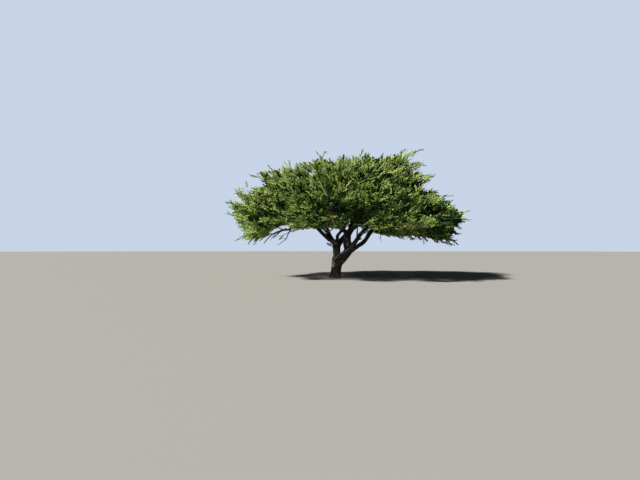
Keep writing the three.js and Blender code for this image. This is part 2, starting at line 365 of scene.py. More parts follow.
# Each bough: its radius at foot and end, how much wider its collar is, the share of its length that is part
# of the one joined piece of wood, and the places its middle passes.
boughs = {
    "left_stem": ((0.19, 0.202), 0, 1, [
        (0.11, 0, 0.85), (0.074, 0, 1.27), (0.072, 0.01, 1.58), (0.075, 0.02, 1.84)]),
    "right_stem": ((0.232, 0.222), 0, 1, [
        (0.19, 0, 0.82), (0.5, 0, 1.18), (0.66, 0, 1.41), (0.69, 0, 1.56)]),
    "west_bough": ((0.15, 0.125), 0.12, 1, [
        (0.07, 0.01, 1.68), (-0.06, -0.01, 1.85), (-0.2, -0.04, 1.96), (-0.33, -0.06, 2.02)]),
    "west_limb": ((0.104, 0.05), 0.2, 0.52, [
        (-0.3, -0.05, 2.01), (-0.53, -0.09, 2.19), (-0.73, -0.13, 2.37), (-0.9, -0.16, 2.55),
        (-1.25, -0.23, 2.77), (-2.1, -0.4, 2.95), (-3.9, -0.5, 3.15)]),
    "northwest_limb": ((0.09, 0.052), 0.2, 0.35, [
        (-0.12, 0, 1.9), (-0.2, 0.02, 2.08), (-0.3, 0.08, 2.27), (-0.39, 0.17, 2.5), (-0.68, 0.4, 2.85),
        (-1.5, 1.1, 3.5), (-2.7, 1.5, 4.15)]),
    "front_bough": ((0.088, 0.058), 0.3, 0.62, [
        (0.085, 0, 1.74), (0.105, -0.04, 1.99), (0.11, -0.11, 2.17), (0.235, -0.25, 2.34),
        (0.38, -0.48, 2.5), (0.7, -1.5, 3.0)]),
    "back_bough": ((0.134, 0.07), 0.25, 0.5, [
        (0.13, 0.04, 1.7), (0.335, 0.19, 1.97), (0.54, 0.38, 2.19), (0.76, 0.7, 2.48), (1.1, 2.3, 3.3)]),
    "middle_bough": ((0.234, 0.192), 0, 1, [
        (0.69, 0, 1.42), (0.655, 0, 1.62), (0.605, 0, 1.91), (0.615, 0, 2.15), (0.66, 0, 2.4)]),
    "middle_left_limb": ((0.112, 0.062), 0.2, 0.75, [
        (0.64, 0, 2.22), (0.545, 0.02, 2.37), (0.36, 0.06, 2.52), (0.17, 0.11, 2.68), (-0.1, 0.3, 3.3)]),
    "middle_right_limb": ((0.132, 0.084), 0.15, 0.65, [
        (0.68, 0, 2.25), (0.87, -0.02, 2.53), (1.08, -0.06, 2.74), (1.5, -0.15, 3.5)]),
    "southeast_bough": ((0.122, 0.066), 0.25, 0.65, [
        (0.76, -0.04, 1.5), (1.03, -0.11, 1.87), (1.21, -0.19, 2.15), (1.36, -0.28, 2.34),
        (1.57, -0.43, 2.54), (2.3, -1.5, 3.1)]),
    "upright_shoot": ((0.042, 0.026), 0.4, 1, [
        (1.13, -0.16, 2.06), (1.128, -0.12, 2.25), (1.128, -0.08, 2.45), (1.18, 0, 2.9)]),
    "broken_stub": ((0.062, 0.022), 0.3, 1, [
        (1.08, -0.15, 1.96), (1.21, -0.2, 2.0), (1.37, -0.23, 2.03)]),
    "east_bough": ((0.118, 0.062), 0.25, 0.66, [
        (0.76, 0.01, 1.4), (1.2, 0.03, 1.67), (1.46, 0.04, 1.85), (1.66, 0.06, 2.1), (1.81, 0.08, 2.32),
        (2.05, 0.1, 2.44), (2.6, 0.16, 2.62), (4.4, 0.3, 2.95)]),
}
# Limbs that leave a bough at a share of its length and run to the middle of a mass of the outermost ring:
# bough, share, mass, and radius at foot and end.
limbs = {
    "limb_0": ("east_bough", 0.62, "skirt_1", (0.052, 0.034)),
    "limb_1": ("back_bough", 0.62, "skirt_2", (0.05, 0.034)),
    "limb_2": ("back_bough", 0.5, "skirt_3", (0.05, 0.034)),
    "limb_3": ("northwest_limb", 0.45, "skirt_4", (0.048, 0.032)),
    "limb_4": ("west_limb", 0.4, "skirt_6", (0.046, 0.032)),
    "limb_5": ("front_bough", 0.7, "skirt_7", (0.048, 0.032)),
    "limb_6": ("southeast_bough", 0.6, "skirt_8", (0.048, 0.032)),
    "limb_7": ("southeast_bough", 0.72, "skirt_9", (0.05, 0.034)),
}
limbSet = {"along": 0.2, "towards": 0.25, "collar": 0.35, "lesserCollar": 0.3}
# Lesser limbs between the boughs: radius at foot and end, and the places passed.
lesserLimbs = {
    "west_second": ((0.062, 0.03), [(-0.1, 0.04, 1.92), (-0.33, 0.02, 2.16), (-0.46, 0, 2.36),
                                    (-0.66, -0.04, 2.56), (-1.1, -0.1, 2.86), (-2.0, -0.6, 3.4)]),
    "back_second": ((0.06, 0.034), [(0.42, 0.22, 2.02), (0.5, 0.4, 2.3), (0.4, 0.6, 2.6), (0.2, 1.3, 3.2)]),
    "east_second": ((0.04, 0.026), [(1.52, 0, 1.92), (1.66, -0.2, 2.3), (1.95, -0.45, 2.6),
                                    (2.8, -1.2, 3.1)]),
}
woodSet = {
    "step": 0.03,  # between stations along a bough
    "sides": 14,
    "collarLength": 0.24,
    "voxel": 0.0138,
    "smoothing": (0.5, 8),  # how strong, and how many rounds
    "joint": 0.014,  # over how wide a seam the bark of two boughs runs together
    "overlap": 4,  # stations of a bough's far part that lie in the joined skin
    "sleeve": 0.96,  # and the share of its radius that it starts at
    "endTaper": (0.9, 0.7, 0.4),
    "endRelief": 0.5,
    "plateWidth": 0.07,
    "plateLength": 0.2,
    "plateEdge": 0.36,
    "wander": ((0.45, 1.7, 1), (0.22, 4.3, 2)),  # how far, how often and from where plates swing sideways
    "grainStretch": 0.22,
    "depthShare": 0.085,  # fissure depth as a share of the radius
    "depthMost": 0.019,
    "lumpShare": 0.05,
    "lumpWaves": np.array([(7.1, 3.2, 5.3), (-4.7, 8.3, 3.9), (11.3, -6.1, 7.7), (2.9, 13.1, -8.9)]),
    "plates": 0.35,  # how much of the depth stands out; the rest goes in
    "seedStep": 1.37,  # between the bark patterns of two boughs
    "farSeed": 50,
    "rowsAtOnce": 6000,
}
# Knots: place, radius and height of the rim; then how wide the rim and the sunken middle are for that radius,
# and how deep the middle sinks for that height.
knots = [((0.12, -0.24, 1.1), 0.055, 0.026), ((0.5, -0.2, 1.36), 0.045, 0.022),
         ((-0.05, -0.14, 1.62), 0.038, 0.018), ((0.2, 0.21, 0.78), 0.06, 0.026),
         ((0.6, -0.17, 1.86), 0.04, 0.02)]
knotForm = {"rim": 0.45, "middle": 0.6, "sunk": 0.8}
# Painted highlights: pale ridges on the near side, lit as by the sun: the places a streak passes as (X, Z),
# and its half-width.
highlightStreaks = [
    ([(-0.03, 1.0), (0.12, 1.17), (0.34, 1.31), (0.66, 1.49)], 0.035),
    ([(-0.1, 0.62), (-0.12, 0.85), (-0.08, 1.12)], 0.05),
    ([(-0.17, 1.92), (-0.09, 1.86), (0.0, 1.8)], 0.026),
    ([(0.6, 1.66), (0.63, 1.86), (0.58, 2.04)], 0.03),
]
nearSide = (-0.05, -0.15)  # Y where the painted highlight begins, and where it is full

# The crown's rings of foliage masses, as the imported model has them.
crown = {"middle": 0.73, "rim": 2.16, "rimDroop": 0.35, "rimTilt": 0.2, "skirtTop": 4.48, "skirtTopTilt": 0.4}
rings = {
    "skirt": {"count": 10, "turn": 0, "centre": (crown["middle"], 0), "reach": (4.57, 4.05),
              "size": (1.54, 1.5), "slope": 0.45},
    "shoulder": {"count": 8, "turn": 0.5, "centre": (0.27, 0), "reach": (3.06, 2.76),
                 "size": (1.62, 1.5), "slope": 0.2, "level": 4.5, "tilt": 0, "height": 1.0},
    "top": {"count": 5, "turn": 0, "centre": (1.5, 0.1), "reach": (1.53, 1.45),
            "size": (1.45, 1.4), "slope": -0.3, "level": 5.25, "tilt": 0.12, "height": 0.85},
    "heart": {"count": 1, "turn": 0, "centre": (1.4, 0.1), "reach": (0, 0),
              "size": (1.5, 1.4), "slope": 0, "level": 5.2, "tilt": 0, "height": 0.9},
    "inner": {"count": 3, "turn": 0.25, "centre": (0.75, 0), "reach": (1.45, 1.35),
              "size": (1.4, 1.35), "slope": 0, "level": 3.33, "tilt": 0, "height": 0.8},
}
massForm = {
    "unevenness": 0.1,
    "flatBelow": 0.82,
    "phase": 1.7,
    "waves": np.array([(2.1, 3.3, 1.7), (-3.9, 1.3, 2.9), (1.1, -4.3, 5.1), (5.3, 2.7, -1.9)]),
}


def massesOf(name, ring, order):  # the masses of one ring: middle, half-sizes, slope, turn and seed of each
    made = {}
    for i in range(ring["count"]):
        azimuth = (i + ring["turn"]) / ring["count"] * 2 * math.pi
        low = crown["rim"] - crown["rimDroop"] * math.cos(2 * azimuth) + crown["rimTilt"] * math.sin(azimuth)
        high = crown["skirtTop"] - crown["skirtTopTilt"] * math.cos(azimuth)
        height = ring.get("height", (high - low) / (1 + massForm["flatBelow"]))
        level = ring["level"] + ring["tilt"] * math.cos(azimuth) if "level" in ring else high - height
        centre = (ring["centre"][0] + ring["reach"][0] * math.cos(azimuth),
                  ring["centre"][1] + ring["reach"][1] * math.sin(azimuth), level)
        made[f"{name}_{i}"] = {"centre": np.array(centre), "size": np.array((*ring["size"], height)),
                               "slope": ring["slope"], "turn": azimuth, "seed": 1 + i + 10 * order}
    return made


masses = {}
for order, (name, ring) in enumerate(rings.items()):
    masses.update(massesOf(name, ring, order))


# How far a mass swells in each direction: 1 plus a small sum of sines of the direction.
def swellOf(mass, ways):
    phases = ways @ massForm["waves"].T + mass["seed"] * (np.arange(4) + massForm["phase"])
    return 1 + massForm["unevenness"] * np.sin(phases).sum(axis=-1) / 2


# Places in a mass, from directions on the unit sphere and a share of the way to its surface.
def placeIn(mass, ways, share):
    depth = np.where(ways[:, 2] < 0, massForm["flatBelow"], 1 - mass["slope"] * ways[:, 0])
    local = ways * mass["size"] * (swellOf(mass, ways) * share)[:, None]
    local[:, 2] *= depth
    return mass["centre"] + turned(local, mass["turn"])


# How deep places lie in a mass: 0 at its middle, 1 on its surface, more outside.
def depthIn(mass, places):
    local = turned(places - mass["centre"], -mass["turn"]) / mass["size"]
    ways = unit(local)
    local[:, 2] /= np.where(local[:, 2] < 0, massForm["flatBelow"], 1 - mass["slope"] * ways[:, 0])
    return np.linalg.norm(local, axis=1) / swellOf(mass, unit(local))


def depths(places, but=None):  # the depths in all masses but one, a row for each mass
    return np.array([depthIn(mass, places) for name, mass in masses.items() if name != but])


# How far the trunk's surface stands from its middle at a height and azimuth, along X and along Y.
def trunkRadii(height, azimuth):
    share = np.maximum(height, 0) / trunk["height"]
    lobes = np.cos(trunk["buttresses"] * (azimuth - trunk["buttressTurn"]))
    strength = 1 + trunk["flareBias"] * np.cos(azimuth - trunk["buttressTurn"])
    fade = np.exp(-np.maximum(height, 0) / trunk["flareHeight"])
    wide = trunk["radius"] + trunk["flare"] * strength * (1 + trunk["buttressDepth"] * lobes) * fade
    over = np.maximum(0, (share - trunk["roundFrom"]) / (1 - trunk["roundFrom"]))
    close = np.sqrt(np.maximum(trunk["roundTo"] ** 2, 1 - over**2))
    return (wide + trunk["forkSpread"] * share ** trunk["forkPower"]) * close, wide * close


def trunkMiddle(height):  # the trunk's middle line: it leans towards +X as a power of its height
    share = np.maximum(height, 0) / trunk["height"]
    return np.stack([trunk["lean"] * share ** trunk["leanPower"], 0 * height, height], axis=-1)


# The trunk as horizontal rings of trunkRadii about trunkMiddle, closed by a point at each end.
def trunkSurface():
    heights = np.linspace(-trunk["below"], trunk["height"], trunk["stations"])
    azimuths = 2 * np.pi * np.arange(trunk["sides"]) / trunk["sides"]
    alongX, alongY = trunkRadii(heights[:, None], azimuths[None])
    middle = trunkMiddle(heights)
    points, faces = tubes(middle[None], np.ones((1, trunk["stations"])), trunk["sides"])
    outer = np.stack([middle[:, :1] + alongX * np.cos(azimuths), alongY * np.sin(azimuths),
                      heights[:, None] + 0 * alongX], axis=-1)
    points[:-2] = outer.reshape(-1, 3)
    return points, faces


# A bough's line and its radius along it: an even taper, widened at the foot by a fading collar.
def boughLine(route, radius, collar):
    line = smoothLine(route, woodSet["step"])
    share = np.linspace(0, 1, len(line))
    run = share * np.linalg.norm(np.diff(line, axis=0), axis=1).sum()
    return line, between(*radius, share) * (1 + collar * bell(run, woodSet["collarLength"]))


woodLines = {name: boughLine(route, radius, collar) for name, (radius, collar, _, route) in boughs.items()}
for name, (source, share, mass, radius) in limbs.items():
    parent = woodLines[source][0]
    at = int(round(share * (len(parent) - 1)))
    foot, end = parent[at], masses[mass]["centre"]
    along = unit(parent[min(at + 1, len(parent) - 1)] - parent[at - 1])
    bend = between(foot, end, limbSet["towards"]) + limbSet["along"] * np.linalg.norm(end - foot) * along
    woodLines[name] = boughLine([foot, bend, end], radius, limbSet["collar"])
for name, (radius, route) in lesserLimbs.items():
    woodLines[name] = boughLine(route, radius, limbSet["lesserCollar"])


# One even-spread number from 0 to 1 for each pair of whole numbers: the fraction of a large sine.
def noiseOf(a, b, seed):
    value = np.sin(a * 12.9898 + b * 78.233 + seed * 37.719) * 43758.5453
    return value - np.floor(value)


# Bark plates: on a grid that closes round the limb, the gap between the distances to the two nearest of
# one jittered point in each cell. It is 0 in the fissures and grows towards the middle of a plate.
def plateGap(u, v, cells, seed):
    first = second = np.full(u.shape, np.inf)
    for du in (-1, 0, 1):
        for dv in (-1, 0, 1):
            cu, cv = np.floor(u) + du, np.floor(v) + dv
            wrapped = np.mod(cu, cells)
            away = np.hypot(cu + noiseOf(wrapped, cv, seed) - u, cv + noiseOf(wrapped, cv, seed + 7) - v)
            second = np.minimum(second, np.maximum(away, first))
            first = np.minimum(first, away)
    return second - first


# The bark's relief at a run along a limb and an angle round it: plates parted by fissures, that swing a
# little sideways along the limb. Returns 0 in a fissure to 1 on a plate, and the noise place of the grain.
def barkAt(run, angle, radius, seed):
    cells = np.maximum(3, np.round(2 * np.pi * radius / woodSet["plateWidth"]))
    v = run / woodSet["plateLength"]
    u = angle / (2 * np.pi) * cells
    for far, often, shift in woodSet["wander"]:
        u = u + far * np.sin(often * v + shift * seed)
    plate = smoothstep(0.0, woodSet["plateEdge"], plateGap(u, v, cells, seed))
    turn = (radius * np.cos(angle), radius * np.sin(angle))
    return plate, np.stack([*turn, woodSet["grainStretch"] * run + seed], axis=-1)


def lumpsAt(places):  # slow swellings of the wood, a sum of sines of the place
    return np.sin(places @ woodSet["lumpWaves"].T + np.arange(4)).sum(axis=-1) / 4


def reliefDepth(radius):  # how deep the fissures are
    return np.minimum(woodSet["depthMost"], woodSet["depthShare"] * radius)


# How much painted highlight the near side has: a bell of the distance from each streak.
def wornAt(places):
    worn = np.zeros(len(places))
    for route, width in highlightStreaks:
        route = np.array(route)
        away = edgeGap(places[:, None, [0, 2]], route[:-1], route[1:])
        worn = np.maximum(worn, bell(away, width) * smoothstep(*nearSide, places[:, 1]))
    return worn


# The bark on the joined skin: each vertex reads the pattern of the limb whose surface is nearest, and near
# a fork the patterns of the two nearest run together.
def barkOn(places, lines):
    which = np.concatenate([np.full(len(line), i) for i, (line, _) in enumerate(lines)])
    middles = np.vstack([line for line, _ in lines])
    radii = np.concatenate([r for _, r in lines])
    frames = [framesAlong(line[None]) for line, _ in lines]
    tangents, normals, binormals = (np.vstack([f[k][0] for f in frames]) for k in range(3))
    runs = np.concatenate([runAlong(line) for line, _ in lines])
    means = np.array([r.mean() for _, r in lines])
    relief, grain, depth = np.zeros(len(places)), np.zeros((len(places), 3)), np.zeros(len(places))
    for rows in np.array_split(np.arange(len(places)), max(1, len(places) // woodSet["rowsAtOnce"])):
        p = places[rows]
        square = (p**2).sum(1)[:, None] - 2 * p @ middles.T + (middles**2).sum(1)
        gaps = np.sqrt(np.maximum(square, 0)) - radii
        first = gaps.argmin(axis=1)
        firstGap = gaps[np.arange(len(p)), first]
        gaps[which[None] == which[first][:, None]] = np.inf
        second = gaps.argmin(axis=1)
        secondGap = gaps[np.arange(len(p)), second]
        share = 1 / (1 + np.exp((secondGap - firstGap) / woodSet["joint"]))
        for station, weight in ((first, 1 - share), (second, share)):
            away = p - middles[station]
            run = runs[station] + (away * tangents[station]).sum(1)
            angle = np.arctan2((away * binormals[station]).sum(1), (away * normals[station]).sum(1))
            limb = which[station]
            plate, place = barkAt(run, angle, means[limb], limb * woodSet["seedStep"])
            relief[rows] += weight * plate
            grain[rows] += weight[:, None] * place
            depth[rows] += weight * reliefDepth(radii[station])
    return relief, grain, depth


# The skin over several closed surfaces, even and a little smoothed, cut flat at the ground.
def skinOver(parts):
    rough = makeObject("roughWood", *merged(parts), [])
    remesh = rough.modifiers.new("skin", "REMESH")
    remesh.mode = "VOXEL"
    remesh.voxel_size = woodSet["voxel"]
    smooth = rough.modifiers.new("smooth", "SMOOTH")
    smooth.factor, smooth.iterations = woodSet["smoothing"]
    skin = bpy.data.meshes.new_from_object(rough.evaluated_get(bpy.context.evaluated_depsgraph_get()))
    bpy.data.objects.remove(rough)
    bm = bmesh.new()
    bm.from_mesh(skin)
    everything = bm.verts[:] + bm.edges[:] + bm.faces[:]
    bmesh.ops.bisect_plane(bm, geom=everything, plane_co=(0, 0, 0), plane_no=(0, 0, 1), clear_inner=True)
    bmesh.ops.holes_fill(bm, edges=[e for e in bm.edges if e.is_boundary], sides=0)
    bm.to_mesh(skin)
    bm.free()
    skin.update()
    return skin


# The joined wood: trunk, stems and the near part of each bough as one skin, pushed out by its bark's plates,
# by lumps and by the rims of the knots, and in by the fissures.
def joinedWood():
    heights = np.linspace(0, trunk["barkTop"], trunk["barkStations"])
    lines = [(trunkMiddle(heights), trunk["radius"] + 0 * heights)]
    for name, (_, _, joined, _) in boughs.items():
        line, radii = woodLines[name]
        upTo = int(round(joined * len(line)))
        lines.append((line[:upTo], radii[:upTo]))
    rods = [tubes(line[None], radii[None], woodSet["sides"]) for line, radii in lines[1:]]
    skin = skinOver([trunkSurface()] + rods)
    places = readPoints(skin)
    relief, grain, depth = barkOn(places, lines)
    lumps = woodSet["lumpShare"] / woodSet["depthShare"] * lumpsAt(places)
    push = depth * (relief - 1 + woodSet["plates"] + lumps)
    for place, radius, height in knots:
        away = np.linalg.norm(places - np.array(place), axis=1)
        sunk = knotForm["sunk"] * bell(away, knotForm["middle"] * radius)
        push += height * (bell(away - radius, knotForm["rim"] * radius) - sunk)
    move = readPoints(skin, "normal") * push[:, None]
    move[places[:, 2] < 1e-4, 2] = 0
    places += move
    places[:, 2] = np.maximum(places[:, 2], 0)
    skin.vertices.foreach_set("co", places.astype(np.float32).ravel())
    putBark(skin, relief=relief, barkPlace=grain, worn=wornAt(places))
    skin.polygons.foreach_set("use_smooth", np.full(len(skin.polygons), True))
    skin.update()
    print("joined wood:", len(skin.loops) - 2 * len(skin.polygons), "triangles")
    return linked("trunk_and_boughs", skin, [bark])


wood = joinedWood()


# The far parts of the boughs and the limbs: tubes with the same bark, worked out on their own grid.
def farLimbs():
    parts, reliefs, grains = [], [], []
    for order, (name, (line, radii)) in enumerate(woodLines.items()):
        joined = boughs[name][2] if name in boughs else 0
        if joined == 1:
            continue
        start = int(round(joined * len(line))) - woodSet["overlap"] if joined else 0
        line, radii = line[start:], radii[start:] * np.linspace(woodSet["sleeve"], 1, len(radii) - start)
        radii[-3:] *= woodSet["endTaper"]
        run = (np.arange(len(line)) * woodSet["step"])[:, None]
        angle = 2 * np.pi * np.arange(woodSet["sides"]) / woodSet["sides"]
        seed = woodSet["farSeed"] + order * woodSet["seedStep"]
        plate, place = barkAt(run + 0 * angle, angle + 0 * run, radii.mean(), seed)
        tubeRadii = radii[:, None] + reliefDepth(radii.mean()) * (plate - 1 + woodSet["plates"])
        tubeRadii *= 1 + woodSet["lumpShare"] * lumpsAt(line)[:, None]
        parts.append(tubes(line[None], tubeRadii[None], woodSet["sides"]))
        reliefs.append(np.concatenate([plate.ravel(), 2 * [woodSet["endRelief"]]]))
        grains.append(np.vstack([place.reshape(-1, 3), np.zeros((2, 3))]))
    piece = makeObject("far_limbs", *merged(parts), [bark])
    relief = np.concatenate(reliefs)
    putBark(piece.data, relief=relief, barkPlace=np.vstack(grains), worn=0 * relief)
    return piece


limbPiece = farLimbs()
print("far limbs:", len(limbPiece.data.polygons), "faces")


# The crown's pads: flat fans of leafy shoots, spread over and through the masses

padSet = {
    "tries": 1700,  # places tried in each mass
    "outer": 0.81,  # share of the way from a mass's middle to its surface
    "outerSpread": 0.12,
    "buried": 0.86,  # a place deeper than this in another mass is dropped
    "spacing": 0.435,
    "underSpacing": 0.42,
    "under": (0.1, -0.6),  # Z of the normal where a pad starts to count as an under one, and fully does
    "innerTries": 500,
    "inner": (0.1, 0.66),
    "innerSpacing": 0.52,
    "grooveTries": 600,  # pads in the grooves, just outside two masses at once
    "groove": (1.0, 1.26),
    "grooveTop": 4.7,
    "fillTries": 16000,  # inner pads between the masses: a mass above them, and one further out
    "fillFrom": 2.5,
    "fillReach": (0.4, 0.8, 1.2, 1.6),
    "filled": 0.95,
    "tuftTries": 12,  # for each pad wanted
    "tuftStray": 0.3,
    "normal": 0.55,  # a pad points along its mass's surface normal, away from the crown's axis and upwards
    "away": 0.7,
    "upward": 0.22,
    "upwardByNormal": 0.3,
    "axis": ((2.5, 5.5), (crown["middle"], 1.4)),  # two heights, and the X of the axis there
    "stray": 0.2,
    "before": 0.26,  # how far its axis runs before and beyond its middle
    "beyond": 0.12,
    "roll": 0.35,
    "rise": 0.16,
    "edge": 0.1,  # how far inside the outline a pad's middle stays
    "tuftEdge": 0.02,
    "droop": 0.45,  # how far the pads of the low rim point down
    "rimHeights": (3.1, 2.3),
    "rimReach": (2.2, 4.2),
    "sweepFrom": (0.4, 0.0, 2.2),  # the sprays sweep away from here
    "sweepBy": (1.0, 0.6, 0.36),
    "acrossPull": 1.7,
}
# Where the crown bulges or hangs a little out of its masses: place, spread, way, and about how many pads.
tufts = [
    ((-4.8, -0.2, 4.3), (0.35, 0.8, 0.25), (-0.8, 0, 0.6), 16),
    ((-4.55, -0.4, 2.25), (0.45, 0.8, 0.2), (-0.6, 0, -0.5), 10),
    ((3.1, -0.7, 2.27), (1.15, 1.6, 0.11), (0.4, -0.3, -0.6), 38),
    ((-4.95, -0.2, 3.2), (0.3, 0.9, 0.55), (-0.9, 0, 0.2), 18),
    ((4.4, 0, 5.15), (0.4, 0.9, 0.4), (0.8, 0, 0.3), 24),
    ((0.3, 0, 6.08), (0.9, 0.7, 0.08), (0, 0, 1), 10),
    ((5.6, -0.3, 2.12), (0.5, 0.7, 0.12), (0.7, 0, -0.5), 9),
    ((-2.55, 0, 5.68), (0.35, 0.6, 0.12), (-0.4, 0, 0.9), 6),
    ((-3.6, 0, 5.25), (0.3, 0.6, 0.15), (-0.7, 0, 0.6), 7),
    ((-4.95, 0, 4.25), (0.22, 0.6, 0.2), (-0.8, 0, 0.4), 10),
    ((3.48, -1.5, 6.08), (0.4, 0.55, 0.14), (0.3, 0, 0.9), 14),
    ((-0.2, -1.2, 2.72), (1.6, 1.2, 0.12), (0, -0.6, -0.3), 16),
    ((2.95, -4.3, 2.52), (0.8, 0.35, 0.13), (0.5, -0.7, 0.1), 12),
    ((-0.35, -0.6, 5.95), (0.4, 0.6, 0.1), (-0.2, 0, 1), 5),
    ((4.8, 0, 4.48), (0.25, 0.6, 0.15), (0.8, 0, 0.3), 6),
]
# Egg-shaped hollows in the near side, where it opens over the fork and no pad sits: place and half-sizes.
hollows = [
    ((-0.3, -5.2, 3.15), (0.8, 1.7, 0.34)),
    ((0.9, -5.0, 3.12), (0.8, 1.7, 0.36)),
    ((0.85, -2.6, 2.62), (0.6, 2.6, 0.36)),
]
# Egg-shaped spots of painted shade, where the sprays take deeper tints, and of painted light, where they take
# brighter ones: place, half-sizes and how much deeper, or brighter when that is below 0.
paintedShadeAndLight = [
    ((0.4, -3.8, 3.14), (1.4, 3.0, 0.46), 1.6),
    ((-1.45, -4.0, 3.85), (0.45, 2.0, 0.3), 1.0),
    ((2.95, -3.0, 2.55), (0.7, 2.0, 0.22), -1.0),
    ((4.4, -2.0, 2.9), (1.2, 3.0, 0.48), 2.4),
    ((2.7, -3.8, 3.5), (1.3, 3.0, 0.5), 1.5),
    ((1.7, -4.2, 2.85), (0.5, 2.0, 0.3), 0.7),
    ((2.95, -2.6, 2.4), (1.0, 2.0, 0.26), -1.1),
    ((-2.9, -3.0, 2.6), (1.7, 2.6, 0.6), -0.7),
    ((1.65, -1.0, 2.55), (0.5, 1.0, 0.35), -1.2),
    ((-1.0, -1.0, 2.7), (0.6, 1.0, 0.3), -1.0),
    ((-3.7, -1.5, 3.1), (0.5, 2.5, 0.35), -1.0),
    ((5.0, -0.8, 4.1), (1.0, 3.2, 0.6), 1.5),
    ((3.3, -1.5, 5.8), (1.2, 1.8, 0.5), 0.6),
]
# The crown's outline as (X, Z), as the camera sees it and measured at the trunk's distance.
outline = np.array([
    (-5.42, 3.82), (-5.2, 4.15), (-5.13, 4.45), (-4.85, 4.72), (-4.6, 4.84), (-4.3, 4.62), (-3.9, 4.65),
    (-3.5, 4.66), (-3.56, 4.95), (-3.8, 5.1), (-3.85, 5.35), (-3.6, 5.58), (-3.0, 5.58), (-2.4, 5.9),
    (-1.55, 5.9), (-0.82, 6.22), (-0.3, 6.12), (0.51, 6.3), (1.41, 6.48), (1.93, 6.22), (2.61, 6.18),
    (3.13, 6.41), (3.55, 6.6), (4.15, 6.5), (4.08, 6.05), (4.55, 5.84), (4.45, 5.58), (3.95, 5.4),
    (4.92, 5.32), (4.96, 5.06), (4.28, 4.74), (5.05, 4.55), (5.35, 4.27), (5.7, 4.02), (6.2, 3.6),
    (6.62, 3.4), (6.55, 2.95), (6.1, 2.66), (5.95, 2.25), (5.8, 1.96), (5.19, 1.98), (4.33, 2.17),
    (3.03, 2.15), (2.3, 2.22), (2.0, 2.32), (1.0, 2.5), (-0.8, 2.51), (-1.33, 2.53), (-1.5, 2.4),
    (-2.1, 2.4), (-2.24, 2.62), (-2.72, 2.74), (-2.96, 2.52), (-3.3, 2.26), (-3.46, 2.1), (-4.0, 1.98),
    (-4.25, 1.84), (-4.68, 1.95), (-4.62, 2.36), (-4.97, 2.52), (-5.12, 2.85), (-5.25, 3.4)])


# How far places stand outside the outline, as the camera sees them; negative inside. Each place is carried
# along its sight line to the trunk's distance; the gap is that to the nearest edge, and a place is inside
# when a line from it towards +X crosses an odd number of edges.
def outlineGap(places):
    eye = np.array(cameraSet["place"])
    seen = eye + (places - eye) * (-eye[1] / (places[:, 1:2] - eye[1]))
    p = seen[:, None, [0, 2]]
    a, b = outline, np.roll(outline, -1, axis=0)
    gap = edgeGap(p, a, b)
    level, rise = p[..., 1], b[:, 1] - a[:, 1]
    rise = np.where(rise == 0, 1, rise)  # a level edge is never crossed
    crossing = a[:, 0] + (b[:, 0] - a[:, 0]) * (level - a[:, 1]) / rise
    crossed = ((a[:, 1] > level) != (b[:, 1] > level)) & (p[..., 0] < crossing)
    return np.where(crossed.sum(axis=1) % 2 == 1, -gap, gap)


def eggGap(places, middle, size):  # 0 in the middle of an egg-shaped spot, 1 on its edge, more outside
    return np.linalg.norm((places - middle) / size, axis=1)


def spacedOut(places, spacing):  # keeps each place that is further than its spacing from all kept before
    kept = []
    near = np.full((len(places) + 1, 3), np.inf)
    for i, place in enumerate(places):
        if ((near[: len(kept) + 1] - place) ** 2).sum(1).min() > spacing[i] ** 2:
            near[len(kept)] = place
            kept.append(i)
    return np.array(kept, int)


# Where pads could sit: near each mass's surface and inside it, in the grooves between two masses, in the
# gaps under and behind them, and in the tufts. Each with the way it faces, its mass and its kind.
def padSpots(rng):
    found = []

    def keep(free, spots, facing, owner, inner=False, tuft=False):
        kinds = (np.full(free.sum(), kind) for kind in (inner, tuft))
        owners = np.broadcast_to(owner, free.shape)[free]
        found.append((spots[free], facing[free], owners, *kinds))

    def facingOf(mass, ways):
        return turned(unit(ways / mass["size"]), mass["turn"])

    for number, (name, mass) in enumerate(masses.items()):
        for inner, tries in ((False, padSet["tries"]), (True, padSet["innerTries"])):
            ways = unit(rng.normal(size=(tries, 3)))
            if inner:
                share = rng.uniform(*padSet["inner"], tries)
            else:
                share = padSet["outer"] + padSet["outerSpread"] * rng.uniform(-1, 1, tries)
            spots = placeIn(mass, ways, share)
            free = depths(spots, name).min(axis=0) > np.minimum(share, padSet["buried"])
            keep(free, spots, facingOf(mass, ways), number, inner)
    for number, (name, mass) in enumerate(masses.items()):
        ways = unit(rng.normal(size=(padSet["grooveTries"], 3)))
        spots = placeIn(mass, ways, rng.uniform(*padSet["groove"], padSet["grooveTries"]))
        depth = depths(spots, name).min(axis=0)
        free = (depth > padSet["groove"][0]) & (depth < padSet["groove"][1])
        keep(free & (spots[:, 2] < padSet["grooveTop"]), spots, facingOf(mass, ways), number)
    spots = between(boxLow, boxHigh, rng.uniform(size=(padSet["fillTries"], 3)))
    spots = spots[spots[:, 2] > padSet["fillFrom"]]
    outwards = unit(spots * (1, 1, 0) - np.array((crown["middle"], 0, 0)))
    free = depths(spots).min(axis=0) > 1
    for way in (up, outwards):
        ahead = [depths(spots + reach * way).min(axis=0) for reach in padSet["fillReach"]]
        free &= np.min(ahead, axis=0) < padSet["filled"]
    keep(free, spots, outwards, depths(spots).argmin(axis=0), inner=True)
    for place, spread, way, count in tufts:
        spots = place + np.array(spread) * rng.uniform(-1, 1, (padSet["tuftTries"] * count, 3))
        facing = unit(way + padSet["tuftStray"] * rng.normal(size=spots.shape))
        keep(np.ones(len(spots), bool), spots, facing, depths(spots).argmin(axis=0), tuft=True)
    return dict(zip(("place", "normal", "owner", "inner", "tuft"), map(np.concatenate, zip(*found))))


